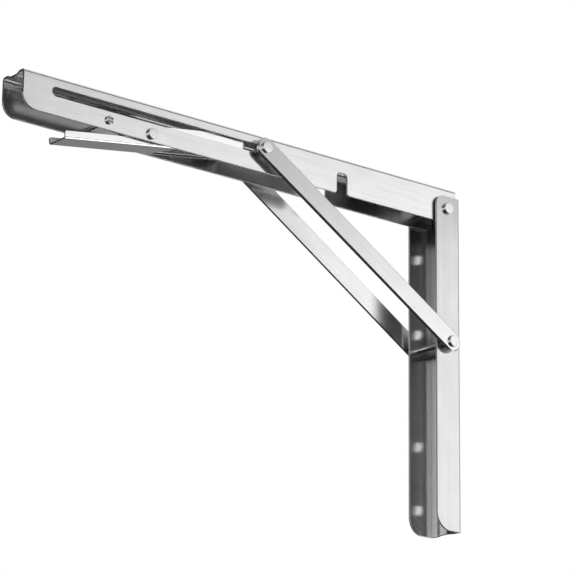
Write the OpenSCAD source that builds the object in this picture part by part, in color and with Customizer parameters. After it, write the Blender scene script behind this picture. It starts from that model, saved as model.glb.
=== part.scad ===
// Folding shelf bracket in stainless steel: a shelf arm, a wall leg, two brace bars
// whose top pin slides along a slot in the arm, and a release lever inside the arm.
// Origin: on the wall face, level with the shelf face, in the middle plane.
// X runs across the bracket, -Y out from the wall and +Z up.

/* [Arm] */
// Distance from the wall to the arm's free end
arm_reach = 497.5; // [480:0.5:560]
// Outer width of the arm
arm_w = 33; // [32:0.5:35]
// Height of the arm, from the shelf face to the flange edges
arm_h = 34.5; // [34:0.1:35]
// Radius of the flanges' corner at the free end
arm_corner_r = 13; // [6:0.5:16]
// Distance from the arm's free end to the end of the slot
slot_margin = 29; // [24:0.5:40]
// Diameter of the shelf screw holes
shelf_hole_d = 5.5; // [4:0.1:6.5]

/* [Wall leg] */
// Height of the wall leg
leg_l = 323; // [318:1:360]
// Depth of the wall leg, from the wall to the flange edges
leg_d = 30.3; // [28:0.1:33]
// Radius of the flanges' corner at the lower end
leg_corner_r = 16; // [8:0.5:18]
// Diameter of the wall screw holes
wall_hole_d = 9.8; // [6:0.1:10]

/* [Sheet and bars] */
// Sheet thickness of the arm and the leg
sheet = 2; // [1.8:0.05:2.1]
// Depth of the groove along the arm
arm_groove = 2; // [1:0.1:2.2]
// Depth of the groove along the leg
leg_groove = 2.6; // [1.5:0.1:3]
// Thickness of the brace bars
bar_t = 3; // [2.5:0.1:4]
// Width of the brace bars
bar_w = 19; // [16:0.5:20]

/* [Brace] */
// Distance from the hinge down to the lower brace pin
pin_drop = 132; // [128:0.5:136]
// Distance from the hinge out to the sliding pin, unfolded
pin_reach = 225.4; // [218:0.1:228]
// Diameter of the sliding pin
slide_pin_d = 8; // [7:0.1:8.5]
// Diameter of the lower brace pin
lower_pin_d = 6.5; // [5.5:0.1:7]

/* [Lever] */
// Distance from the hinge out to the lever pin
lever_reach = 347.4; // [345:0.1:352]
// Distance from the lever pin to the handle's end
handle_l = 89.5; // [80:0.1:95]
// Distance from the lever pin to the nose
nose_l = 108.7; // [100:0.1:109]
// Angle by which the handle hangs below the arm
lever_angle = 8.7; // [8.4:0.1:8.8]
// Sheet thickness of the lever
lever_sheet = 1.5; // [1.2:0.05:1.6]

/* [Hidden] */
$fn = 64;
far = 40;
inside = 1;

// Running clearances
shaft_gap = 0.05;
fixed_gap = 0.02;
face_gap = 0.1;
run_gap = 0.3;
heel_gap = 0.6;
side_gap = 1.5;

// Hinge place
hinge_back = 16;
hinge_down = 21.5;
hinge_pin_d = 8;
leg_above = 12.3;

// Widths across the bracket
leg_w = arm_w + 2 * (side_gap + sheet);
arm_in = arm_w / 2 - sheet;
leg_in = leg_w / 2 - sheet;
bar_gap = 3.7;
bar_top_gap = 5.1;
lever_play = 4.3;
bar_in = leg_w / 2 + bar_gap;
bar_out = bar_in + bar_t;
bar_top_in = arm_w / 2 + bar_top_gap;
lever_w = arm_w - 2 * sheet - lever_play;
lever_in = lever_w / 2 - lever_sheet;

// Arm outline, measured from the hinge
arm_free = -(arm_reach - hinge_back);
arm_heel = hinge_back - sheet - run_gap;
arm_heel_r = hinge_back - sheet - heel_gap;
arm_low = hinge_down - arm_h;
slot_down = 13.5;
slot_z = hinge_down - slot_down;
slot_h = slide_pin_d + 2 * run_gap;
slot_far = arm_free + slot_margin + slot_h / 2;
slot_near = -pin_reach;
notch_shift = 2.7;
notch_w = 12.7;
notch_h = 20.3;
notch_y = notch_shift - pin_drop;
notch_top = arm_low + notch_h;
notch_r = 4;
notch_mouth_r = 2.5;
shelf_hole_out = 16.5;
shelf_hole_in = 60;
shelf_hole_far = arm_free + shelf_hole_out;
shelf_holes = [shelf_hole_far, (shelf_hole_far - shelf_hole_in) / 2, -shelf_hole_in];

// Leg outline, measured from the hinge
leg_back = hinge_back;
leg_front = hinge_back - leg_d;
leg_low = leg_above - leg_l;
leg_top_r = 10;
wall_holes = [-36.5, -111.5, -221.5, -282.5];

// Bends
bend_r = 3;
lever_bend_r = 2;
nose_bend_r = 3;

// Grooves, with sides of two arcs each that turn by a 3 to 4 slope and back
arm_floor_w = 8;
leg_floor_w = 8.2;
groove_turn = atan(3 / 4);

// Brace
bar_drop = pin_drop + slot_z;
bar_l = sqrt(pin_reach * pin_reach + bar_drop * bar_drop);
bar_angle = atan2(bar_drop, pin_reach);
bar_lean = atan((bar_in - bar_top_in) / bar_l);
spacer_d = 12;
bush_d = 12;
stud_gap = 0.45;
stud_in = lever_w / 2 + stud_gap;
stud_collar_d = 12;
bar_rivet_d = 6.5;

// Rivet heads
head_d = 11;
head_h = 2.2;
hinge_head_h = 2.8;
lever_head_d = 10;
lever_head_h = 2.8;
spring_head_d = 7.5;
spring_head_h = 2.2;
head_edge = 0.5;
washer_d = 14;
lever_washer_d = 10;

// Lever, measured from its pin along its own length
lever_pin_d = 6;
lever_up = 6.8;
lever_z = arm_low + lever_up;
lever_top = 9;
lever_web = -9.6;
cheek_low = -7.3;
handle_top = -2.7;
handle_step = -12;
step_r_in = 4;
step_r_out = 5;
handle_end_r = 2;
nose_r = 6;
nose_wall_low = -4.3;
nose_cut_w = 20.7;
web_end_left = 14;
web_end_right = 33;

// Spring
wire_d = 1.4;
leg_wire_d = 1.3;
coil_r = 4.6;
coil_pitch = 1.3;
coil_turns = 6;
coil_gap = 0.2;
spring_pin_d = 4;
spring_pin_out = 45.6;
spring_pin_up = 1.7;
leg_reach = 40;
leg_past = 4;

// Places and directions

module at_hinge() {
    translate([0, -hinge_back, -hinge_down]) children();
}

module at_lower_pin() {
    at_hinge() translate([0, 0, -pin_drop]) children();
}

module at_slide_pin() {
    at_hinge() translate([0, -pin_reach, slot_z]) children();
}

module at_lever_pin() {
    at_hinge() translate([0, -lever_reach, lever_z]) children();
}

// Lays a side outline, drawn as [y, z], across the bracket
module across(w) {
    rotate([90, 0, 90]) linear_extrude(w, center = true) children();
}

// Lays a section, drawn as [x, z], along Y from one place to another
module along(y0, y1) {
    translate([0, y1, 0]) rotate([90, 0, 0]) linear_extrude(y1 - y0) children();
}

// Keeps the right side as drawn and mirrors it for the left
module on_side(side) {
    mirror([side < 0 ? 1 : 0, 0, 0]) children();
}

// Rod along X from one place to another
module rod(d, x0, x1) {
    translate([x0, 0, 0]) rotate([0, 90, 0]) cylinder(d = d, h = x1 - x0);
}

module ring(d_out, d_in, x0, x1) {
    difference() {
        rod(d_out, x0, x1);
        rod(d_in, x0 - inside, x1 + inside);
    }
}

// Rivet head standing out from a face at x, with a rounded edge
module rivet_head(d, h, x) {
    r = d / 2;
    translate([x, 0, 0]) rotate([0, 90, 0]) rotate_extrude() {
        square([r, h - head_edge]);
        square([r - head_edge, h]);
        translate([r - head_edge, h - head_edge]) circle(head_edge, $fn = 16);
    }
}

// Sheet metal sections

// Piece of a bend, between two angles on its middle line
module band(x, y, r, t, a0, a1) {
    reach = 2 * (r + t);
    mid = (a0 + a1) / 2;
    translate([x, y]) intersection() {
        difference() {
            circle(r + t / 2);
            circle(r - t / 2);
        }
        polygon([
            [0, 0], reach * [cos(a0), sin(a0)],
            reach * [cos(mid), sin(mid)], reach * [cos(a1), sin(a1)]
        ]);
    }
}

// Right half of a channel's section: web along y = 0, flange down, groove pressed in
module half_channel(w, h, t, groove, floor_w) {
    mid_r = bend_r - t / 2;
    ridge = floor_w / 2 + 3 * groove;
    curve_r = 2.5 * groove;
    translate([w / 2 - t, -h]) square([t, h - bend_r]);
    band(w / 2 - bend_r, -bend_r, mid_r, t, 0, 90);
    translate([ridge, -t]) square([w / 2 - bend_r - ridge, t]);
    band(ridge, -t / 2 - curve_r, curve_r, t, 90, 90 + groove_turn);
    band(floor_w / 2, -t / 2 - groove + curve_r, curve_r, t, -90, -90 + groove_turn);
    translate([0, -t - groove]) square([floor_w / 2, t]);
}

module channel(w, h, t, groove, floor_w) {
    half_channel(w, h, t, groove, floor_w);
    mirror([1, 0]) half_channel(w, h, t, groove, floor_w);
}

// What rounding takes off a corner at the origin, for a body in the [+, +] quarter
module corner_cut(r) {
    difference() {
        translate([-inside, -inside]) square(r + inside);
        translate([r, r]) circle(r);
    }
}

// What a fillet adds beside a corner at the origin
module fillet(r) {
    difference() {
        square(r);
        translate([r, r]) circle(r);
    }
}

// Wall leg

module leg_side() {
    difference() {
        translate([leg_front, leg_low]) square([leg_d, leg_l]);
        translate([leg_front, leg_low]) corner_cut(leg_corner_r);
        translate([leg_front, leg_above]) mirror([0, 1]) corner_cut(leg_top_r);
    }
}

module wall_leg() {
    color("silver") at_hinge() difference() {
        intersection() {
            translate([0, leg_back, leg_low]) linear_extrude(leg_l)
                channel(leg_w, leg_d, sheet, leg_groove, leg_floor_w);
            across(leg_w + 2 * inside) leg_side();
        }
        rod(hinge_pin_d + 2 * fixed_gap, -far, far);
        translate([0, 0, -pin_drop]) rod(lower_pin_d + 2 * fixed_gap, -far, far);
        for (z = wall_holes)
            translate([0, leg_back + inside, z]) rotate([90, 0, 0]) cylinder(d = wall_hole_d, h = leg_d / 2);
    }
}

module hinge_pin() {
    color("gainsboro") at_hinge() {
        rod(hinge_pin_d, -leg_w / 2, leg_w / 2);
        rivet_head(head_d, hinge_head_h, leg_w / 2);
        mirror([1, 0, 0]) rivet_head(head_d, hinge_head_h, leg_w / 2);
    }
}

module hinge_washer(side) {
    color("lightgray") at_hinge() on_side(side)
        ring(washer_d, hinge_pin_d + 2 * shaft_gap, arm_w / 2 + face_gap, leg_in - fixed_gap);
}

module lower_pin() {
    face = bar_out + face_gap;
    color("gainsboro") at_lower_pin() {
        rod(lower_pin_d, -face, face);
        rivet_head(head_d, head_h, face);
        mirror([1, 0, 0]) rivet_head(head_d, head_h, face);
    }
}

module lower_spacer(side) {
    color("lightgray") at_lower_pin() on_side(side)
        ring(spacer_d, lower_pin_d + 2 * fixed_gap, leg_w / 2, bar_in - face_gap);
}

// Shelf arm

module slot(y0, y1, z, h) {
    translate([y0, z]) circle(d = h);
    translate([y1, z]) circle(d = h);
    translate([y0, z - h / 2]) square([y1 - y0, h]);
}

// Opening in a flange edge that lets the lower brace pin in when the arm is down
module pin_notch() {
    wide = notch_w / 2;
    translate([notch_y, 0]) {
        translate([-wide, arm_low - inside]) square([notch_w, notch_top - notch_r - arm_low + inside]);
        translate([-wide + notch_r, notch_top - 2 * notch_r]) square([notch_w - 2 * notch_r, 2 * notch_r]);
        for (s = [-1, 1]) {
            translate([s * (wide - notch_r), notch_top - notch_r]) circle(notch_r);
            translate([s * wide, arm_low]) mirror([s < 0 ? 1 : 0, 0]) fillet(notch_mouth_r);
        }
    }
}

module arm_side() {
    difference() {
        union() {
            translate([arm_free, arm_low]) square([-arm_free, arm_h]);
            square([arm_heel, hinge_down]);
            intersection() {
                circle(arm_heel_r);
                translate([0, arm_low]) square([hinge_back, -arm_low]);
            }
        }
        translate([arm_free, arm_low]) corner_cut(arm_corner_r);
        slot(slot_far, slot_near, slot_z, slot_h);
        pin_notch();
    }
}

module shelf_arm() {
    color("whitesmoke") at_hinge() difference() {
        intersection() {
            translate([0, 0, hinge_down]) along(arm_free - inside, hinge_back)
                channel(arm_w, arm_h, sheet, arm_groove, arm_floor_w);
            across(arm_w + 2 * inside) arm_side();
        }
        rod(hinge_pin_d + 2 * shaft_gap, -far, far);
        translate([0, -lever_reach, lever_z]) rod(lever_pin_d + 2 * fixed_gap, -far, far);
        translate([0, -lever_reach - spring_pin_out, lever_z + spring_pin_up])
            rod(spring_pin_d + 2 * fixed_gap, -far, far);
        for (y = shelf_holes)
            translate([0, y, hinge_down - arm_h / 2]) cylinder(d = shelf_hole_d, h = arm_h);
    }
}

module lever_pin() {
    color("gainsboro") at_lever_pin() {
        rod(lever_pin_d, -arm_w / 2, arm_w / 2);
        rivet_head(lever_head_d, lever_head_h, arm_w / 2);
        mirror([1, 0, 0]) rivet_head(lever_head_d, lever_head_h, arm_w / 2);
    }
}

module lever_washer(side) {
    color("lightgray") at_lever_pin() on_side(side)
        ring(lever_washer_d, lever_pin_d + 2 * fixed_gap, lever_w / 2 + face_gap, arm_in - fixed_gap);
}

module spring_pin() {
    color("gainsboro") at_lever_pin() translate([0, -spring_pin_out, spring_pin_up]) {
        rod(spring_pin_d, -arm_w / 2, arm_w / 2);
        rivet_head(spring_head_d, spring_head_h, arm_w / 2);
        mirror([1, 0, 0]) rivet_head(spring_head_d, spring_head_h, arm_w / 2);
    }
}

// Lever spring, close wound round the lever pin

// Turns that touch each other, the first with its middle at x
module coil(count, x) {
    translate([x, 0, 0]) rotate([0, 90, 0]) rotate_extrude($fn = 48)
        for (i = [0 : count - 1]) translate([coil_r, coil_pitch * i]) circle(d = wire_d, $fn = 16);
}

// Straight wire leaving the turn at x by its underside, and lying against a round at
// [y, z] of radius r, with its end past the round
module spring_leg(x, y, z, r, past) {
    span = norm([y, z]);
    swing = acos((coil_r - r) / span);
    normal_a = atan2(z, y) + swing;
    translate([x, coil_r * cos(normal_a), coil_r * sin(normal_a)])
        rotate([normal_a - 90, 0, 0]) rotate([-90, 0, 0])
            cylinder(d = leg_wire_d, h = sqrt(span * span - pow(coil_r - r, 2)) + past, $fn = 16);
}

module lever_spring() {
    x0 = -coil_pitch * (coil_turns - 2) / 2;
    leg_x = x0 + coil_pitch * (coil_turns - 1);
    color("darkgray") at_lever_pin() {
        coil(coil_turns, x0);
        spring_leg(leg_x, -spring_pin_out, spring_pin_up,
            (spring_pin_d + wire_d) / 2 + fixed_gap, leg_past);
    }
}

// End turn of the spring with the leg that presses on the lever's web
module lever_spring_end() {
    x = -coil_pitch * (coil_turns - 2) / 2 - wire_d - coil_gap;
    web_in = lever_web + lever_sheet;
    color("darkgray") at_lever_pin() rotate([lever_angle, 0, 0]) {
        coil(1, x);
        spring_leg(x, -leg_reach, web_in + wire_d / 2 + fixed_gap, 0, 0);
    }
}

// Release lever

module lever_outline() {
    difference() {
        union() {
            translate([-handle_l, lever_web]) square([handle_l + web_end_right, handle_top - lever_web]);
            translate([handle_step, cheek_low]) square([nose_l - handle_step, lever_top - cheek_low]);
            translate([handle_step, handle_top]) mirror([1, 0]) fillet(step_r_in);
        }
        translate([-handle_l, handle_top]) mirror([0, 1]) corner_cut(handle_end_r);
        translate([handle_step, lever_top]) mirror([0, 1]) corner_cut(step_r_out);
        translate([nose_l, lever_top]) mirror([1, 0]) mirror([0, 1]) corner_cut(nose_r);
        translate([nose_l, cheek_low]) mirror([1, 0]) corner_cut(nose_r);
        circle(d = lever_pin_d + 2 * shaft_gap);
    }
}

// Section of the handle: two cheeks joined by a web below
module lever_section() {
    h = lever_top - lever_web;
    mid_r = lever_bend_r - lever_sheet / 2;
    for (s = [-1, 1]) mirror([s < 0 ? 1 : 0, 0]) {
        translate([lever_in, lever_web + lever_bend_r]) square([lever_sheet, h - lever_bend_r]);
        band(lever_w / 2 - lever_bend_r, lever_web + lever_bend_r, mid_r, lever_sheet, -90, 0);
    }
    translate([-lever_w / 2 + lever_bend_r, lever_web]) square([lever_w - 2 * lever_bend_r, lever_sheet]);
}

// Plan of the front: two cheeks joined by the nose wall
module lever_plan() {
    mid_r = nose_bend_r - lever_sheet / 2;
    for (s = [-1, 1]) mirror([s < 0 ? 1 : 0, 0]) {
        translate([lever_in, 0]) square([lever_sheet, nose_l - nose_bend_r]);
        band(lever_w / 2 - nose_bend_r, nose_l - nose_bend_r, mid_r, lever_sheet, 0, 90);
    }
    translate([-lever_w / 2 + nose_bend_r, nose_l - lever_sheet])
        square([lever_w - 2 * nose_bend_r, lever_sheet]);
}

module handle_solid() {
    intersection() {
        along(-handle_l, web_end_right) lever_section();
        translate([0, 0, lever_web - inside]) linear_extrude(lever_top - lever_web) polygon([
            [-lever_w, -handle_l], [lever_w, -handle_l],
            [lever_w / 2, web_end_right], [-lever_w / 2, web_end_left], [-lever_w, web_end_left]
        ]);
    }
}

// Cheeks in front of the handle, with the nose wall cut back below so that it clears the leg
module front_solid() {
    difference() {
        translate([0, 0, cheek_low]) linear_extrude(lever_top - cheek_low) lever_plan();
        translate([-nose_cut_w / 2, nose_l - nose_bend_r, cheek_low - inside])
            cube([nose_cut_w, nose_bend_r + inside, nose_wall_low - cheek_low + inside]);
    }
}

module release_lever() {
    color("whitesmoke") at_lever_pin() rotate([lever_angle, 0, 0]) intersection() {
        union() {
            handle_solid();
            front_solid();
        }
        across(lever_w + 2 * inside) lever_outline();
    }
}

// Brace

// Bar's own frame: it runs along +Y from the lower pin and leans in towards the arm
module on_bar(side) {
    at_lower_pin() on_side(side) rotate([180 - bar_angle, 0, 0])
        translate([bar_in, 0, 0]) rotate([0, 0, bar_lean]) children();
}

module brace_bar(side) {
    color("silver") difference() {
        on_bar(side) rotate([90, 0, 90]) linear_extrude(bar_t) slot(0, bar_l, 0, bar_w);
        at_lower_pin() rod(lower_pin_d + 2 * shaft_gap, -far, far);
        on_bar(side) translate([0, bar_l, 0]) rod(bar_rivet_d + 2 * fixed_gap, -inside, bar_t + inside);
    }
}

module brace_rivet(side) {
    color("gainsboro") on_bar(side) translate([0, bar_l, 0]) {
        rod(bar_rivet_d, 0, bar_t);
        rivet_head(head_d, head_h, bar_t);
    }
}

module slide_stud(side) {
    color("gainsboro") at_slide_pin() on_side(side) {
        rod(slide_pin_d, stud_in, bar_top_in - run_gap);
        rod(stud_collar_d, stud_in, arm_in - face_gap);
    }
}

module slide_bush(side) {
    color("lightgray") at_slide_pin() on_side(side)
        ring(bush_d, slide_pin_d + 2 * fixed_gap, arm_w / 2 + face_gap, bar_top_in - run_gap);
}

wall_leg();
hinge_pin();
hinge_washer(1);  // hinge_washer_right
hinge_washer(-1);  // hinge_washer_left
lower_pin();
lower_spacer(1);  // lower_spacer_right
lower_spacer(-1);  // lower_spacer_left
shelf_arm();
lever_pin();
lever_washer(1);  // lever_washer_right
lever_washer(-1);  // lever_washer_left
spring_pin();
lever_spring();
release_lever();
lever_spring_end();
brace_bar(1);  // brace_bar_right
brace_bar(-1);  // brace_bar_left
brace_rivet(1);  // brace_rivet_right
brace_rivet(-1);  // brace_rivet_left
slide_stud(1);  // slide_stud_right
slide_stud(-1);  // slide_stud_left
slide_bush(1);  // slide_bush_right
slide_bush(-1);  // slide_bush_left
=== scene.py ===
import bpy
import bmesh
import math
import numpy as np
from mathutils import Matrix, Vector


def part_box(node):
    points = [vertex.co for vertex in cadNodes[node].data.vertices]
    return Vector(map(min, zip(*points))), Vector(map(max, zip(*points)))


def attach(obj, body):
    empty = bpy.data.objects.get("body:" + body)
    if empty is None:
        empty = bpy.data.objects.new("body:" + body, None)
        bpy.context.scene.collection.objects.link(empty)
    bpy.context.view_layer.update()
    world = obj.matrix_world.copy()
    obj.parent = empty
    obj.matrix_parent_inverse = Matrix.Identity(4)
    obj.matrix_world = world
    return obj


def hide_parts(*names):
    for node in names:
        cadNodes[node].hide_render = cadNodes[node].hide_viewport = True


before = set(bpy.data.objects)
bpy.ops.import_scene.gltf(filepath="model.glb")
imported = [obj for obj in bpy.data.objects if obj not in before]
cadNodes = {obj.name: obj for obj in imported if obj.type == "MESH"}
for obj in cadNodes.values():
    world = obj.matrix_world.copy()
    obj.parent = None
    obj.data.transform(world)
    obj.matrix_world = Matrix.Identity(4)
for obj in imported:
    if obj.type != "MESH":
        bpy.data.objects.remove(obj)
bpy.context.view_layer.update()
scene = bpy.context.scene
scene.view_settings.view_transform = "Standard"
print("frame loaded,", len(cadNodes), "nodes")

mm = 0.001

# camera where the photograph's was, below the bracket and in front of it, looking up
cameraSetup = {
    "azimuth": 50.734,        # degrees, 0 looks along +Y
    "elevation": -16.251,
    "roll": 0.746,
    "distance": 2.2868,       # metres
    "aim": (0.0, -0.196, -0.1215),
    "slideRight": 0.00086,
    "slideUp": -0.00903,
    "lens": 158.02,           # mm
    "sensor": 36.0,           # mm wide
    "near": 0.05, "far": 60.0,
}


def addCamera(c):
    a, e, r = (math.radians(c[k]) for k in ("azimuth", "elevation", "roll"))
    back = Vector((math.sin(a) * math.cos(e), -math.cos(a) * math.cos(e), math.sin(e)))
    level = Vector((math.cos(a), math.sin(a), 0))
    rise = back.cross(level)
    right = level * math.cos(r) + rise * math.sin(r)
    up = rise * math.cos(r) - level * math.sin(r)
    place = Vector(c["aim"]) + back * c["distance"] + right * c["slideRight"] + up * c["slideUp"]
    data = bpy.data.cameras.new("photoCamera")
    data.sensor_width = c["sensor"]
    data.lens = c["lens"]
    data.clip_start = c["near"]
    data.clip_end = c["far"]
    cam = bpy.data.objects.new("photoCamera", data)
    scene.collection.objects.link(cam)
    cam.matrix_world = Matrix.Translation(place) @ Matrix((right, up, back)).transposed().to_4x4()
    scene.camera = cam


addCamera(cameraSetup)
print("camera placed")


# small helpers for node trees

def addNode(tree, kind, **settings):
    node = tree.nodes.new(kind)
    for key, value in settings.items():
        setattr(node, key, value)
    return node


def feed(tree, socket, value):
    # a number or tuple sets the socket, another socket is linked to it
    if isinstance(value, bpy.types.NodeSocket):
        tree.links.new(value, socket)
    elif value is not None:
        socket.default_value = value


def mathNode(tree, operation, *values, clamp=False):
    node = addNode(tree, "ShaderNodeMath", operation=operation, use_clamp=clamp)
    for socket, value in zip(node.inputs, values):
        feed(tree, socket, value)
    return node.outputs[0]


def vectorNode(tree, operation, *values):
    node = addNode(tree, "ShaderNodeVectorMath", operation=operation)
    for socket, value in zip(node.inputs, values):
        feed(tree, socket, value)
    return node.outputs["Value"] if operation in ("DOT_PRODUCT", "LENGTH") else node.outputs["Vector"]


def rampNode(tree, value, low, high, toLow=0.0, toHigh=1.0):
    node = addNode(tree, "ShaderNodeMapRange", interpolation_type="SMOOTHSTEP")
    settings = {"Value": value, "From Min": low, "From Max": high, "To Min": toLow, "To Max": toHigh}
    for key, v in settings.items():
        feed(tree, node.inputs[key], v)
    return node.outputs["Result"]


# studio: plain white for the camera; metal sees a dim room with lit windows and dark flags round the object
# a window or flag starts to open, is fully open, starts to close and is closed at these angles, in degrees
studio = {
    "white": (1, 1, 1, 1),    # what the camera sees
    "dull": 1.0,              # light on the floor and on anything dull
    "backdrop": 0.03,         # what metal sees between the windows
    "darkest": 0.01,          # flags never take the light below this
    "windows": [              # azimuth from +X towards +Y, elevation above the horizon
        {"azimuth": (20, 34, 46, 54), "elevation": (-14, -5, 17, 21), "level": 1.56},
        {"azimuth": (-71, -58, -33, -21), "elevation": (-20, -6, 8, 22), "level": 1.55},
        {"azimuth": (20, 45, 105, 130), "elevation": (-62, -46, -32, -27), "level": 1.90},
        {"azimuth": (52, 68, 181, 182), "elevation": (-16, -2, 95, 97), "level": 0.50},
        {"azimuth": (-182, -181, 181, 182), "elevation": (31, 42, 95, 97), "level": 0.40},
        {"azimuth": (-32, -20, 8, 20), "elevation": (-18, -8, 14, 20), "level": 0.50},
        {"azimuth": (-182, -181, -162, -152), "elevation": (-20, -10, 95, 97), "level": 0.40},
        {"azimuth": (-146, -136, -70, -58), "elevation": (-26, -16, -8, 0), "level": 0.20},
    ],
    "flags": [                # these take light away
        {"azimuth": (10, 22, 62, 74), "elevation": (17, 21, 29, 33), "level": -0.06},
        {"azimuth": (-158, -150, -100, -84), "elevation": (-2, 6, 20, 28), "level": -0.06},
    ],
}


def openBetween(tree, angle, marks):
    rise = rampNode(tree, angle, math.radians(marks[0]), math.radians(marks[1]))
    fall = rampNode(tree, angle, math.radians(marks[2]), math.radians(marks[3]), 1.0, 0.0)
    return mathNode(tree, "MULTIPLY", rise, fall)


def buildWorld(s):
    world = bpy.data.worlds.new("studio")
    scene.world = world
    world.use_nodes = True
    tree = world.node_tree
    tree.nodes.clear()
    direction = addNode(tree, "ShaderNodeTexCoord").outputs["Generated"]
    split = addNode(tree, "ShaderNodeSeparateXYZ")
    feed(tree, split.inputs[0], direction)
    azimuth = mathNode(tree, "ARCTAN2", split.outputs[1], split.outputs[0])
    elevation = mathNode(tree, "ARCSINE", split.outputs[2])
    light = s["backdrop"]
    for w in s["windows"] + s["flags"]:
        part = mathNode(tree, "MULTIPLY", openBetween(tree, azimuth, w["azimuth"]),
                        openBetween(tree, elevation, w["elevation"]))
        light = mathNode(tree, "MULTIPLY_ADD", part, w["level"], light)
    light = mathNode(tree, "MAXIMUM", light, s["darkest"])
    path = addNode(tree, "ShaderNodeLightPath")
    backdrop = addNode(tree, "ShaderNodeBackground")
    shade = addNode(tree, "ShaderNodeMix", data_type="RGBA")   # only metal sees the windows and flags
    feed(tree, shade.inputs["Factor"], path.outputs["Is Glossy Ray"])
    feed(tree, shade.inputs[6], s["white"])
    feed(tree, shade.inputs[7], light)
    feed(tree, backdrop.inputs["Color"], shade.outputs[2])
    dull = addNode(tree, "ShaderNodeBackground")
    feed(tree, dull.inputs["Color"], (s["dull"],) * 3 + (1,))
    seen = mathNode(tree, "ADD", path.outputs["Is Camera Ray"], path.outputs["Is Glossy Ray"])
    seen = mathNode(tree, "ADD", seen, path.outputs["Is Transmission Ray"], clamp=True)
    both = addNode(tree, "ShaderNodeMixShader")
    feed(tree, both.inputs[0], seen)
    feed(tree, both.inputs[1], dull.outputs[0])
    feed(tree, both.inputs[2], backdrop.outputs[0])
    out = addNode(tree, "ShaderNodeOutputWorld")
    feed(tree, out.inputs["Surface"], both.outputs[0])


buildWorld(studio)
print("studio built")


# new surfaces
meshLooks = {
    "sharpest": 34.0,         # degrees, an edge that turns more than this stays sharp
    "flattest": 0.4,          # degrees, triangles that turn less than this become one face
    "merge": 2e-6,            # metres between points that become one
    "mergeCad": 1e-5,         # the same on copies of CAD meshes
    "arcSteps": 6,            # points on a rounded corner
    "turns": 96,              # points round a turned piece
    "ringTurns": 80,
}


def gridFaces(rows, columns, closeRows=False, closeColumns=False):
    # each cell joins point (i, j) to its neighbours in the next row and column
    cellRows, cellColumns = np.arange(rows - (not closeRows)), np.arange(columns - (not closeColumns))
    i, j = np.meshgrid(cellRows, cellColumns, indexing="ij")
    i2, j2 = (i + 1) % rows, (j + 1) % columns
    corners = [i * columns + j, i2 * columns + j, i2 * columns + j2, i * columns + j2]
    return np.stack(corners, -1).reshape(-1, 4)


def finishMesh(mesh, sharpest=meshLooks["sharpest"], merge=meshLooks["merge"], flatten=False):
    bm = bmesh.new()
    bm.from_mesh(mesh)
    bmesh.ops.remove_doubles(bm, verts=bm.verts, dist=merge)
    if flatten:
        flattest = math.radians(meshLooks["flattest"])
        bmesh.ops.dissolve_limit(bm, angle_limit=flattest, verts=bm.verts, edges=bm.edges)
    else:
        bmesh.ops.recalc_face_normals(bm, faces=bm.faces)
    bm.to_mesh(mesh)
    bm.free()
    mesh.polygons.foreach_set("use_smooth", np.ones(len(mesh.polygons), dtype=bool))
    mesh.set_sharp_from_angle(angle=math.radians(sharpest))


def addPiece(name, mesh, body, nodes):
    piece = bpy.data.objects.new(name, mesh)
    scene.collection.objects.link(piece)
    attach(piece, body)
    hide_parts(*nodes)
    return piece


def levelNormals(piece):
    # keeps flat faces flat beside rounded edges
    level = piece.modifiers.new("level", "WEIGHTED_NORMAL")
    level.keep_sharp = True
    return piece


def surfacePiece(name, points, faces, body, nodes, sharpest=meshLooks["sharpest"]):
    mesh = bpy.data.meshes.new(name)
    mesh.from_pydata(points.reshape(-1, 3).tolist(), [], faces.tolist())
    finishMesh(mesh, sharpest)
    return levelNormals(addPiece(name, mesh, body, nodes))


def filletProfile(corners, radii, steps=meshLooks["arcSteps"]):
    # every corner becomes an arc that starts and ends at radius / tan(half angle) from it
    corners, radii = np.array(corners, float), np.array(radii, float)[:, None]
    before = np.roll(corners, 1, axis=0) - corners
    after = np.roll(corners, -1, axis=0) - corners
    before /= np.linalg.norm(before, axis=1, keepdims=True)
    after /= np.linalg.norm(after, axis=1, keepdims=True)
    half = np.arccos(np.clip((before * after).sum(1, keepdims=True), -1, 1)) / 2
    middle = before + after
    middle /= np.linalg.norm(middle, axis=1, keepdims=True)
    centre = corners + middle * radii / np.sin(half)
    start = before * radii / np.tan(half) + corners - centre
    end = after * radii / np.tan(half) + corners - centre
    sweep = (math.pi - 2 * half)[:, :, None]
    s = np.linspace(0, 1, steps)[None, :, None]
    arc = (np.sin((1 - s) * sweep) * start[:, None] + np.sin(s * sweep) * end[:, None]) / np.sin(sweep)
    return (centre[:, None] + arc).reshape(-1, 2)


def turnedPoints(profile, centre, turns=meshLooks["turns"]):
    # profile (x, r) carried round the X axis through centre: x, r cos v, r sin v
    v = np.arange(turns) * 2 * math.pi / turns
    x, r = profile[:, :1], profile[:, 1:]
    return np.stack([x + 0 * v, centre[1] + r * np.cos(v), centre[2] + r * np.sin(v)], -1)


def turnedPiece(node, points, body, closeRows=False):
    # points as turnedPoints gives them: rows along the profile, columns round the axis
    faces = gridFaces(*points.shape[:2], closeRows=closeRows, closeColumns=True)
    return surfacePiece(node + "_turned", points, faces, body, [node])


def sideName(side):
    return "right" if side > 0 else "left"


def nodeBox(node):
    low, high = (np.array(v[:]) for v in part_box(node))
    return low, high, (low + high) / 2


def resample(profile, step):
    # points are added along the profile so that none lie further apart than step
    run = np.concatenate([[0], np.cumsum(np.linalg.norm(np.diff(profile, axis=0), axis=1))])
    at = np.unique(np.concatenate([run, np.arange(0, run[-1], step)]))
    keep = np.concatenate([[True], np.diff(run) > 1e-9])
    return np.stack([np.interp(at, run[keep], profile[keep, k]) for k in (0, 1)], -1)


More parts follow.
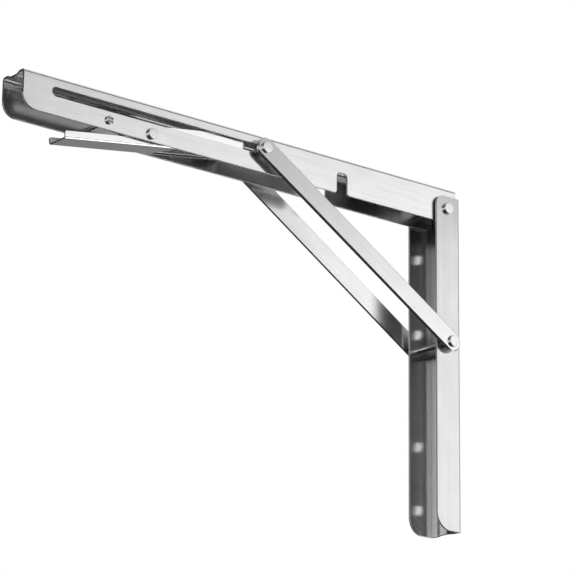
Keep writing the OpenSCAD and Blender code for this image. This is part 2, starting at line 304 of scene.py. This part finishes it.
# pins: a shank with a low, flat head at each end
pinLooks = {
    "hinge_pin": {"body": "leg", "shank": 8.0, "headHeight": 2.8},
    "lower_pin": {"body": "leg", "shank": 6.5, "headHeight": 2.2},
    "lever_pin": {"body": "arm", "shank": 6.0, "headHeight": 2.8},
    "spring_pin": {"body": "arm", "shank": 4.0, "headHeight": 2.2, "punched": True},
}
headLooks = {
    "edge": 0.4,              # mm, as all but the share: radius of the head's rim
    "foot": 0.12,             # radius where the head meets the shank
    "crown": 0.02,            # rise of the face above the rim
    "crownRound": 2.0,        # radius where that rise ends
    "faceShare": 0.4,         # how far from the axis it ends, as a share of the head's radius
}
punchLooks = {                # mm, four marks that spread the spring pin's ends
    "spread": 1.4, "width": 0.95, "depth": 1.6,
    "reach": 0.2,             # only points this near the end face are sunk
    "step": 0.15,             # distance between the profile's points
}


def headCorners(neck, end, head, shank):
    # each corner's place along the axis and away from it, and then the corners' radii
    k = headLooks
    rim, face = (end - k["crown"] * mm, head), (end, head * k["faceShare"])
    return [(neck, shank), (neck, head), rim, face, (end, 0)], [
        0, k["foot"] * mm, k["edge"] * mm, k["crownRound"] * mm, 0]


def punchMarks(points, end, centre):
    # each mark sinks the end face by depth * exp(-(distance / width)^6)
    k = {key: v * mm for key, v in punchLooks.items()}
    sunk = 0
    for dy, dz in ((-1, -1), (-1, 1), (1, -1), (1, 1)):
        away = np.hypot(points[..., 1] - centre[1] - dy * k["spread"],
                        points[..., 2] - centre[2] - dz * k["spread"])
        sunk = sunk + k["depth"] * np.exp(-(away / k["width"]) ** 6)
    onFace = np.abs(np.abs(points[..., 0]) - end) < k["reach"]
    points[..., 0] -= np.sign(points[..., 0]) * np.where(onFace, sunk, 0)


def buildPin(node, look):
    low, high, centre = nodeBox(node)
    end, head, shank = high[0], (high[1] - low[1]) / 2, look["shank"] * mm / 2
    corners, radii = headCorners(end - look["headHeight"] * mm, end, head, shank)
    closed = filletProfile(corners + [(0, 0), (0, shank)], radii + [0, 0])
    right = closed[:len(corners) * meshLooks["arcSteps"]]
    profile = np.concatenate([right[::-1] * (-1, 1), right])
    if look.get("punched"):
        points = turnedPoints(resample(profile, punchLooks["step"] * mm), centre)
        punchMarks(points, end, centre)
    else:
        points = turnedPoints(profile, centre)
    return turnedPiece(node, points, look["body"])


pins = [buildPin(node, look) for node, look in pinLooks.items()]


# rings: washers, spacers and bushes, each with its body and its bore in mm
ringLooks = {
    "hinge_washer_right": ("leg", 8.1), "hinge_washer_left": ("leg", 8.1),
    "lower_spacer_right": ("leg", 6.54), "lower_spacer_left": ("leg", 6.54),
    "lever_washer_right": ("arm", 6.04), "lever_washer_left": ("arm", 6.04),
    "slide_bush_right": ("slider", 8.04), "slide_bush_left": ("slider", 8.04),
}
ringEdges = {
    "widest": 0.25,           # mm, radius of the outer edges
    "share": 0.2,             # of the ring's thickness, where that is less
    "inner": 0.5,             # the bore's edges, as a share of the outer ones
    "steps": 4,
}


def buildRing(node, body, bore):
    low, high, centre = nodeBox(node)
    outer, inner = (high[1] - low[1]) / 2, bore * mm / 2
    k = ringEdges
    edge = min(k["widest"] * mm, (high[0] - low[0]) * k["share"])
    profile = filletProfile([(low[0], inner), (high[0], inner), (high[0], outer), (low[0], outer)],
                            [edge * k["inner"], edge * k["inner"], edge, edge], steps=k["steps"])
    return turnedPiece(node, turnedPoints(profile, centre, meshLooks["ringTurns"]), body, closeRows=True)


rings = [buildRing(node, *look) for node, look in ringLooks.items()]


# sliding studs: a collar inside the arm and a shank through the slot, drawn for the right side
studLooks = {"shank": 8.0, "collar": 12.0, "collarEnd": 14.4, "edge": 0.3}    # mm


def buildStud(side):
    node = "slide_stud_" + sideName(side)
    low, high, centre = nodeBox(node)
    start, end = min(abs(low[0]), abs(high[0])), max(abs(low[0]), abs(high[0]))
    k = {key: v * mm for key, v in studLooks.items()}
    collar, shank, step = k["collar"] / 2, k["shank"] / 2, k["collarEnd"]
    corners = [(start, 0), (start, collar), (step, collar), (step, shank), (end, shank), (end, 0)]
    profile = filletProfile(corners, [0, k["edge"], k["edge"], k["edge"], k["edge"], 0])
    return turnedPiece(node, turnedPoints(profile * (side, 1), centre), "slider")


studs = [buildStud(side) for side in (1, -1)]


# upper rivets of the bars: a head on the outer face, square to a bar that leans in a little
barLooks = {
    "lowerPin": (-16.0, -153.5),   # y and z, mm
    "upperPin": (-241.4, -13.5),
    "inner": (23.7, 21.6),         # inner face's x at the lower and the upper end
    "thickness": 3.0,
    "rivetHead": 11.0,
    "rivetHeadHeight": 2.2,
    "rivetShank": 6.5,
}


def barRun():
    # y and z from the lower pin to the upper one, mm
    (y0, z0), (y1, z1) = barLooks["lowerPin"], barLooks["upperPin"]
    return y1 - y0, z1 - z0


def barLength():
    return math.hypot(*barRun())


def onBar(points, side):
    # from the bar's own frame, x through its thickness and y along it from the lower pin, to the object's
    (y0, z0), (x0, x1) = barLooks["lowerPin"], barLooks["inner"]
    lean = math.atan((x0 - x1) / barLength())
    turn = Matrix.Rotation(math.atan2(*barRun()[::-1]), 3, "X") @ Matrix.Rotation(lean, 3, "Z")
    moved = points @ np.array(turn).T + np.array((x0, y0, z0)) * mm
    return moved * (side, 1, 1)


def buildBarRivet(side):
    node = "brace_rivet_" + sideName(side)
    k = {key: barLooks[key] * mm for key in ("thickness", "rivetHead", "rivetHeadHeight", "rivetShank")}
    thick, shank = k["thickness"], k["rivetShank"] / 2
    corners, radii = headCorners(thick, thick + k["rivetHeadHeight"], k["rivetHead"] / 2, shank)
    profile = filletProfile([(0, 0), (0, shank)] + corners, [0, 0] + radii)
    points = turnedPoints(profile, (0, barLength() * mm, 0))
    return turnedPiece(node, onBar(points, side), "brace")


barRivets = [buildBarRivet(side) for side in (1, -1)]
print("pins, rings and rivets turned")


# lever spring: round wire, wound close, one leg to the spring pin and one to the lever's web
springLooks = {
    "wire": 1.36, "radius": 4.6,                         # mm
    "around": 14, "perTurn": 40, "onLeg": 13,            # points round the wire, along a turn, along a leg
    "sharpest": 50,                                      # degrees
}
wireLooks = {                                            # mm from the lever pin, and degrees
    "lever_spring": {"body": "arm", "x": 3.9, "turns": 4.58, "pitch": 1.42,
                     "legTo": (-45.6, 1.7), "round": 2.72, "past": 4.0, "tilt": 0.0},
    "lever_spring_end": {"body": "lever", "x": -4.2, "turns": 0.9, "pitch": 0.0,
                         "legTo": (-40.0, -7.38), "round": 0.0, "past": 0.0, "tilt": 8.7},
}


def sweptWire(path, normal, wire, around):
    # a circle of the wire's radius in the plane of the normal and binormal at every path point
    tangent = np.gradient(path, axis=0)
    tangent /= np.linalg.norm(tangent, axis=1, keepdims=True)
    normal = normal - (normal * tangent).sum(1, keepdims=True) * tangent
    normal /= np.linalg.norm(normal, axis=1, keepdims=True)
    side = np.cross(tangent, normal)
    v = (np.arange(around) * 2 * math.pi / around)[None, :, None]
    body = path[:, None] + wire / 2 * (np.cos(v) * normal[:, None] + np.sin(v) * side[:, None])
    caps = [np.repeat(path[i][None, None], around, 1) for i in (0, -1)]
    return np.concatenate([caps[0], body, caps[1]])


def wirePath(look):
    # turns, where x drifts and (y, z) = r (cos a, sin a), then a straight leg that touches the round at legTo
    r = springLooks["radius"]
    span = math.hypot(*look["legTo"])
    last = math.atan2(look["legTo"][1], look["legTo"][0]) + math.acos((r - look["round"]) / span)
    leg = math.sqrt(span ** 2 - (r - look["round"]) ** 2) + look["past"]
    a = np.linspace(last + look["turns"] * 2 * math.pi, last, int(springLooks["perTurn"] * look["turns"]))
    drift = look["x"] - look["pitch"] * np.abs(a - last) / (2 * math.pi)
    coil = np.stack([drift, r * np.cos(a), r * np.sin(a)], -1)
    coilNormal = np.stack([0 * a, np.cos(a), np.sin(a)], -1)
    count = springLooks["onLeg"]
    way = np.array([[0, math.sin(last), -math.cos(last)]])
    straight = coil[-1] + np.linspace(0, leg, count + 1)[1:, None] * way
    normal = np.concatenate([coilNormal, np.repeat(coilNormal[-1:], count, 0)])
    return np.concatenate([coil, straight]) * mm, normal


def buildWire(node, look):
    centre = nodeBox("lever_pin")[2] * (0, 1, 1)
    path, normal = wirePath(look)
    turn = np.array(Matrix.Rotation(math.radians(look["tilt"]), 3, "X")).T
    k = springLooks
    points = sweptWire(path @ turn + centre, normal @ turn, k["wire"] * mm, k["around"])
    faces = gridFaces(*points.shape[:2], closeColumns=True)
    return surfacePiece(node + "_wire", points, faces, look["body"], [node], k["sharpest"])


springs = [buildWire(node, look) for node, look in wireLooks.items()]
print("spring wound")


# sheet and bars: the CAD shape with its cut edges eased, wider where punching rolled the bars' outer edges
sheetLooks = {      # edge and rolled in mm; web is the axis that a channel's web is square to
    "wall_leg": {"body": "leg", "slot": "sheet", "steel": "legSteel", "edge": 0.3, "web": 1},
    "shelf_arm": {"body": "arm", "slot": "sheet", "steel": "armSteel", "edge": 0.3, "web": 2},
    "release_lever": {"body": "lever", "slot": "sheet", "steel": "leverSteel", "edge": 0.25},
    "brace_bar_right": {"body": "brace", "slot": "bar", "steel": "barSteel", "edge": 0.3, "rolled": 1.1},
    "brace_bar_left": {"body": "brace", "slot": "bar", "steel": "barSteel", "edge": 0.3, "rolled": 1.1},
}
edgeLooks = {
    "corner": 40,             # degrees, an edge that turns more is eased
    "outward": 0.9,           # least x of an outer face's normal
    "holeReach": 4,           # mm round a bar's pin holes, whose rims aren't rolled
    "steps": 3, "rolledSteps": 4,
}
cutLooks = {
    "sideways": 0.1,          # most x of a cut face's normal
    "flange": 2.2,            # mm, the sheet's thickness and a little more
    "bend": 3.2,              # mm from the web's face to past the bend
}


def weighEdges(mesh, look):
    # the share of the widest easing that each edge gets: 1 round the outer face, less elsewhere
    bm = bmesh.new()
    bm.from_mesh(mesh)
    layer = bm.edges.layers.float.new("bevel_weight_edge")
    widest = look.get("rolled", look["edge"])
    for e in bm.edges:
        if len(e.link_faces) == 2 and e.calc_face_angle() > math.radians(edgeLooks["corner"]):
            side = math.copysign(1, e.verts[0].co.x)
            outside = max(f.normal.x * side for f in e.link_faces) > edgeLooks["outward"]
            middle = (e.verts[0].co + e.verts[1].co) / 2 / mm
            away = min(math.dist(middle.yz, barLooks[pin]) for pin in ("lowerPin", "upperPin"))
            rolled = outside and away >= edgeLooks["holeReach"]
            e[layer] = 1.0 if rolled else look["edge"] / widest
    bm.to_mesh(mesh)
    bm.free()
    return widest


def markCuts(mesh, look):
    # cut faces of a flange: none that faces sideways, within the sheet's thickness, clear of the bend
    count = len(mesh.polygons)
    normal, centre = np.empty(count * 3), np.empty(count * 3)
    mesh.polygons.foreach_get("normal", normal)
    mesh.polygons.foreach_get("center", centre)
    normal, centre = normal.reshape(-1, 3), centre.reshape(-1, 3) / mm
    away = np.abs(centre[:, 0])
    height = centre[:, look["web"]]
    cut = (np.abs(normal[:, 0]) < cutLooks["sideways"]) & (away > away.max() - cutLooks["flange"])
    cut &= height < height.max() - cutLooks["bend"]
    mesh.polygons.foreach_set("material_index", cut.astype(np.int32))


def easedCopy(node, look):
    mesh = cadNodes[node].data.copy()
    mesh.name = node + "_eased"
    finishMesh(mesh, merge=meshLooks["mergeCad"], flatten=True)
    if "web" in look:
        markCuts(mesh, look)
    widest = weighEdges(mesh, look)
    piece = addPiece(node + "_eased", mesh, look["body"], [node])
    ease = piece.modifiers.new("ease", "BEVEL")
    ease.width = widest * mm
    ease.segments = edgeLooks["rolledSteps" if "rolled" in look else "steps"]
    ease.limit_method = "WEIGHT"
    ease.use_clamp_overlap = False
    ease.loop_slide = False
    return levelNormals(piece)


sheets = {node: easedCopy(node, look) for node, look in sheetLooks.items()}
print("sheet edges eased")


# grain and marks shared by the materials
grainLooks = {
    "fine": (1900, 45, 1900),           # streaks in a metre across, along and across the brushing
    "broad": (320, 6, 320),
    "rings": 2600,                      # rings in a metre of a turned face
    "speckle": 900,
    "broadRange": (0.3, 0.7),           # the parts of the noises that the finishes are spread over
    "markRange": (0.2, 0.8),
}


def newGroup(name, inputs, outputs):
    tree = bpy.data.node_groups.new(name, "ShaderNodeTree")
    for label, kind, value in inputs:
        socket = tree.interface.new_socket(label, in_out="INPUT", socket_type=kind)
        if value is not None:
            socket.default_value = value
    for label, kind in outputs:
        tree.interface.new_socket(label, in_out="OUTPUT", socket_type=kind)
    return tree, addNode(tree, "NodeGroupInput").outputs, addNode(tree, "NodeGroupOutput").inputs


def placeGroup(tree, group, **values):
    node = addNode(tree, "ShaderNodeGroup", node_tree=group)
    for key, value in values.items():
        feed(tree, node.inputs[key], value)
    return node.outputs


def noiseNode(tree, vector, scale, detail=2.0, rough=0.5):
    node = addNode(tree, "ShaderNodeTexNoise", noise_dimensions="3D")
    for key, value in (("Vector", vector), ("Scale", scale), ("Detail", detail), ("Roughness", rough)):
        feed(tree, node.inputs[key], value)
    return node.outputs["Fac"]


def turnVector(tree, vector, start, end):
    # from the world's axes to the object's, or back
    node = addNode(tree, "ShaderNodeVectorTransform", vector_type="VECTOR",
                   convert_from=start, convert_to=end)
    feed(tree, node.inputs[0], vector)
    return node.outputs[0]


def makeBrushedGrain():
    # long streaks along Y: noise on the place times a vector that is small along Y
    tree, given, out = newGroup(
        "brushedGrain", [("Vector", "NodeSocketVector", None), ("Fineness", "NodeSocketFloat", 1.0)],
        [("Fine", "NodeSocketFloat"), ("Broad", "NodeSocketFloat")])
    scaled = addNode(tree, "ShaderNodeVectorMath", operation="SCALE")
    feed(tree, scaled.inputs[0], given["Vector"])
    feed(tree, scaled.inputs["Scale"], given["Fineness"])
    fine = vectorNode(tree, "MULTIPLY", scaled.outputs[0], grainLooks["fine"])
    broad = vectorNode(tree, "MULTIPLY", scaled.outputs[0], grainLooks["broad"])
    feed(tree, out["Fine"], noiseNode(tree, fine, 1.0, detail=3.0, rough=0.6))
    feed(tree, out["Broad"], noiseNode(tree, broad, 1.0))
    return tree


def makeTurnedGrain():
    # rings: noise on the distance from the X axis
    tree, given, out = newGroup("turnedGrain", [("Vector", "NodeSocketVector", None)],
                                [("Rings", "NodeSocketFloat")])
    flat = vectorNode(tree, "MULTIPLY", given["Vector"], (0, 1, 1))
    away = vectorNode(tree, "LENGTH", flat)
    join = addNode(tree, "ShaderNodeCombineXYZ")
    feed(tree, join.inputs[0], away)
    feed(tree, out["Rings"], noiseNode(tree, join.outputs[0], grainLooks["rings"]))
    return tree


def makeHandling():
    # faint cloudy marks from rolling and handling, and a finer speckle
    tree, given, out = newGroup(
        "handlingMarks", [("Vector", "NodeSocketVector", None), ("Size", "NodeSocketFloat", 0.02)],
        [("Clouds", "NodeSocketFloat"), ("Speckle", "NodeSocketFloat")])
    inverse = mathNode(tree, "DIVIDE", 1.0, given["Size"])
    feed(tree, out["Clouds"], noiseNode(tree, given["Vector"], inverse, detail=3.0, rough=0.55))
    feed(tree, out["Speckle"], noiseNode(tree, given["Vector"], grainLooks["speckle"], rough=0.6))
    return tree


def makeFlangeToe():
    # flanges that spring in a little: the normal's z loses toe * its x * the sign of the place's x
    tree, given, out = newGroup(
        "flangeToe", [("Vector", "NodeSocketVector", None), ("Toe", "NodeSocketFloat", 0.0)],
        [("Normal", "NodeSocketVector")])
    facing = addNode(tree, "ShaderNodeNewGeometry").outputs["Normal"]
    normal = turnVector(tree, facing, "WORLD", "OBJECT")
    normalParts, placeParts = addNode(tree, "ShaderNodeSeparateXYZ"), addNode(tree, "ShaderNodeSeparateXYZ")
    feed(tree, normalParts.inputs[0], normal)
    feed(tree, placeParts.inputs[0], given["Vector"])
    side = mathNode(tree, "SIGN", placeParts.outputs[0])
    outward = mathNode(tree, "MULTIPLY", normalParts.outputs[0], side)
    down = mathNode(tree, "MULTIPLY", outward, given["Toe"])
    tilt = addNode(tree, "ShaderNodeCombineXYZ")
    feed(tree, tilt.inputs[2], mathNode(tree, "MULTIPLY", down, -1.0))
    tilted = vectorNode(tree, "NORMALIZE", vectorNode(tree, "ADD", normal, tilt.outputs[0]))
    feed(tree, out["Normal"], turnVector(tree, tilted, "OBJECT", "WORLD"))
    return tree


brushedGrain, turnedGrain, handlingMarks = makeBrushedGrain(), makeTurnedGrain(), makeHandling()
flangeToe = makeFlangeToe()

finishes = {
    # tone from 0 to 1; spread stretches the highlights across the brushing; brushed is the direction of the
    # brushing from +Y towards +Z, in degrees; toe is how far flanges lean in
    "armSteel": {"tone": 0.68, "roughness": 0.20, "spread": 0.6, "brushed": 0,
                 "grain": 0.35, "clouds": 0.015, "toe": 0.032},
    "legSteel": {"tone": 0.66, "roughness": 0.21, "spread": 0.8, "brushed": 90,
                 "grain": 0.25, "clouds": 0.015, "toe": 0.0},
    "leverSteel": {"tone": 0.78, "roughness": 0.22, "spread": 0.5, "brushed": 8.7,
                   "grain": 0.35, "clouds": 0.015, "toe": 0.05},
    "cutSteel": {"tone": 0.97, "roughness": 0.60, "spread": 0.0, "brushed": 0,
                 "grain": 0.1, "clouds": 0.015, "toe": 0.0},
    "barSteel": {"tone": 0.76, "roughness": 0.22, "spread": 0.5, "brushed": 148.16,
                 "grain": 0.5, "clouds": 0.015, "toe": 0.0},
}
brushedLooks = {
    "markSize": 0.03,                   # metres
    "roughByClouds": 0.08,              # how far the clouds and the grain change the roughness
    "roughByGrain": 0.10,
    "bump": 0.000004,                   # metres
}
turnedLooks = {
    "tone": 0.64, "toneSpan": (-0.03, 0.02),
    "roughness": 0.2, "roughnessSpan": (-0.04, 0.06),
    "markSize": 0.004,
    "bump": 0.000003,
    "toe": 0.035,                       # heads lie as the flanges do; rings have none
}
springFinish = {"tone": (0.42, 0.56), "roughness": (0.26, 0.40), "markSize": 0.002}


def newSteel(name):
    material = bpy.data.materials.new(name)
    material.use_nodes = True
    tree = material.node_tree
    shader = tree.nodes["Principled BSDF"]
    shader.inputs["Metallic"].default_value = 1.0
    place = addNode(tree, "ShaderNodeTexCoord").outputs["Object"]
    return material, tree, shader.inputs, place


def addRelief(tree, inputs, height, depth, place, toe):
    # height's bumps on the plain normal, or on the leaning one
    bump = addNode(tree, "ShaderNodeBump")
    bump.inputs["Strength"].default_value = 1.0
    bump.inputs["Distance"].default_value = depth
    feed(tree, bump.inputs["Height"], height)
    if toe:
        feed(tree, bump.inputs["Normal"], placeGroup(tree, flangeToe, Vector=place, Toe=toe)["Normal"])
    feed(tree, inputs["Normal"], bump.outputs[0])


def varied(tree, value, mask, amount):
    # value + amount * (mask - 0.5)
    return mathNode(tree, "MULTIPLY_ADD", mathNode(tree, "SUBTRACT", mask, 0.5), amount, value)


def brushedSteel(name, f):
    material, tree, inputs, place = newSteel(name)
    inputs["Anisotropic"].default_value = f["spread"]
    brushed = math.radians(f["brushed"])
    strokes = turnVector(tree, (0, math.cos(brushed), math.sin(brushed)), "OBJECT", "WORLD")
    facing = addNode(tree, "ShaderNodeNewGeometry").outputs["Normal"]
    feed(tree, inputs["Tangent"], vectorNode(tree, "CROSS_PRODUCT", facing, strokes))
    turn = addNode(tree, "ShaderNodeMapping", vector_type="POINT")
    feed(tree, turn.inputs["Vector"], place)
    feed(tree, turn.inputs["Rotation"], (math.radians(-f["brushed"]), 0, 0))
    k = brushedLooks
    grain = placeGroup(tree, brushedGrain, Vector=turn.outputs[0], Fineness=1.0)
    marks = placeGroup(tree, handlingMarks, Vector=place, Size=k["markSize"])
    tone = rampNode(tree, grain["Broad"], *grainLooks["broadRange"],
                    f["tone"] - f["clouds"], f["tone"] + f["clouds"])
    feed(tree, inputs["Base Color"], varied(tree, tone, marks["Clouds"], f["clouds"] * 2))
    rough = varied(tree, f["roughness"], marks["Clouds"], k["roughByClouds"])
    feed(tree, inputs["Roughness"], varied(tree, rough, grain["Fine"], k["roughByGrain"]))
    height = mathNode(tree, "MULTIPLY", grain["Fine"], f["grain"])
    addRelief(tree, inputs, height, k["bump"], place, f["toe"])
    return material


def turnedSteel(name, centre, toe):
    material, tree, inputs, place = newSteel(name)
    centred = addNode(tree, "ShaderNodeMapping", vector_type="POINT")
    feed(tree, centred.inputs["Vector"], place)
    feed(tree, centred.inputs["Location"], tuple(-v for v in centre))
    k = turnedLooks
    rings = placeGroup(tree, turnedGrain, Vector=centred.outputs[0])["Rings"]
    marks = placeGroup(tree, handlingMarks, Vector=place, Size=k["markSize"])
    tones = (k["tone"] + v for v in k["toneSpan"])
    roughnesses = (k["roughness"] + v for v in k["roughnessSpan"])
    span = grainLooks["markRange"]
    feed(tree, inputs["Base Color"], rampNode(tree, marks["Clouds"], *span, *tones))
    feed(tree, inputs["Roughness"], rampNode(tree, rings, *span, *roughnesses))
    addRelief(tree, inputs, rings, k["bump"], place, toe)
    return material


def springSteel(k):
    material, tree, inputs, place = newSteel("springSteel")
    marks = placeGroup(tree, handlingMarks, Vector=place, Size=k["markSize"])
    span = grainLooks["markRange"]
    feed(tree, inputs["Base Color"], rampNode(tree, marks["Clouds"], *span, *k["tone"]))
    feed(tree, inputs["Roughness"], rampNode(tree, marks["Speckle"], *span, *k["roughness"]))
    return material


def dress(obj, *materials):
    # the faces keep the material that markCuts gave them
    index = np.zeros(len(obj.data.polygons), dtype=np.int32)
    obj.data.polygons.foreach_get("material_index", index)
    obj.data.materials.clear()
    for material in materials:
        obj.data.materials.append(material)
    obj.data.polygons.foreach_set("material_index", np.minimum(index, len(materials) - 1))


steels = {name: brushedSteel(name, f) for name, f in finishes.items()}
for node, look in sheetLooks.items():
    worn = [look["steel"], "cutSteel"] if "web" in look else [look["steel"]]
    dress(sheets[node], *(steels[name] for name in worn))
for piece in pins + rings + studs + barRivets:
    centre = nodeBox(piece.name.replace("_turned", ""))[2]
    toe = 0.0 if piece in rings else turnedLooks["toe"]
    dress(piece, turnedSteel("steelOf_" + piece.name, (0, centre[1], centre[2]), toe))
springMaterial = springSteel(springFinish)
for piece in springs:
    dress(piece, springMaterial)
print("materials built")


# floor, out of the photograph's view; it fades to the white backdrop at its rim
floorLooks = {
    "height": -0.95, "radius": 4.0, "fadeFrom": 1.6,     # metres
    "tone": 0.93,
    "rings": 24, "turns": 64,
}


def buildFloor(k):
    # rings of points: r cos v, r sin v, and r grows to the rim
    r = np.linspace(0, k["radius"], k["rings"])[:, None]
    v = np.arange(k["turns"]) * 2 * math.pi / k["turns"]
    points = np.stack([r * np.cos(v), r * np.sin(v), 0 * r * v + k["height"]], -1)
    mesh = bpy.data.meshes.new("studioFloor")
    faces = gridFaces(k["rings"], k["turns"], closeColumns=True)
    mesh.from_pydata(points.reshape(-1, 3).tolist(), [], faces.tolist())
    finishMesh(mesh)
    if mesh.polygons[0].normal.z < 0:
        mesh.flip_normals()
    floor = bpy.data.objects.new("studioFloor", mesh)
    scene.collection.objects.link(floor)
    floor.visible_glossy = False
    material = bpy.data.materials.new("paleFloor")
    material.use_nodes = True
    tree = material.node_tree
    tree.nodes.clear()
    place = addNode(tree, "ShaderNodeTexCoord").outputs["Object"]
    away = vectorNode(tree, "LENGTH", vectorNode(tree, "MULTIPLY", place, (1, 1, 0)))
    fade = rampNode(tree, away, k["fadeFrom"], k["radius"])
    under = addNode(tree, "ShaderNodeNewGeometry").outputs["Backfacing"]
    clear = mathNode(tree, "MAXIMUM", fade, under)
    matt = addNode(tree, "ShaderNodeBsdfDiffuse")
    matt.inputs["Color"].default_value = (k["tone"],) * 3 + (1,)
    through = addNode(tree, "ShaderNodeBsdfTransparent")
    both = addNode(tree, "ShaderNodeMixShader")
    feed(tree, both.inputs[0], clear)
    feed(tree, both.inputs[1], matt.outputs[0])
    feed(tree, both.inputs[2], through.outputs[0])
    out = addNode(tree, "ShaderNodeOutputMaterial")
    feed(tree, out.inputs["Surface"], both.outputs[0])
    mesh.materials.append(material)


buildFloor(floorLooks)
print("floor laid")
